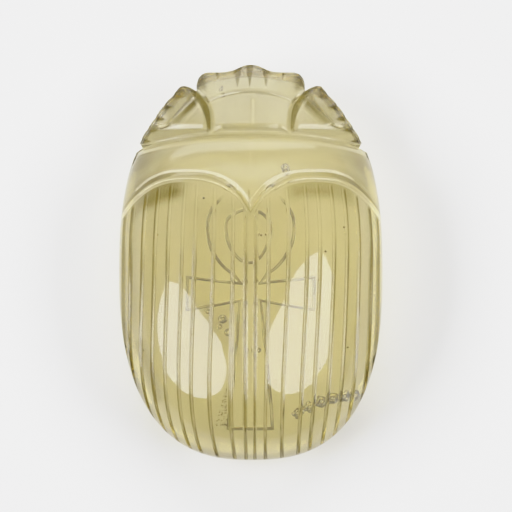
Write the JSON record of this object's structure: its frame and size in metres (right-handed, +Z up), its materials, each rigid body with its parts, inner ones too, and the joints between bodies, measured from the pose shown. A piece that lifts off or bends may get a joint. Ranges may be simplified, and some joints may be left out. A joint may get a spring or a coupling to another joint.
{
  "type": "scarab amulet",
  "caption": "Carved scarab amulet of clear pale glass, with grooved wing cases and an ankh outline cut in its flat underside.",
  "frame": {"origin": "centre of the amulet's box, on the plane of its flat underside", "axes": "+Y from tail to head along the body, +X to the beetle's right seen from above with the head away, +Z up from the flat underside"},
  "size_m": [0.0332, 0.05, 0.0168],
  "materials": {
    "glass": "gloss"
  },
  "bodies": {
    "root": {"scarab": "glass"}
  },
  "joints": []
}
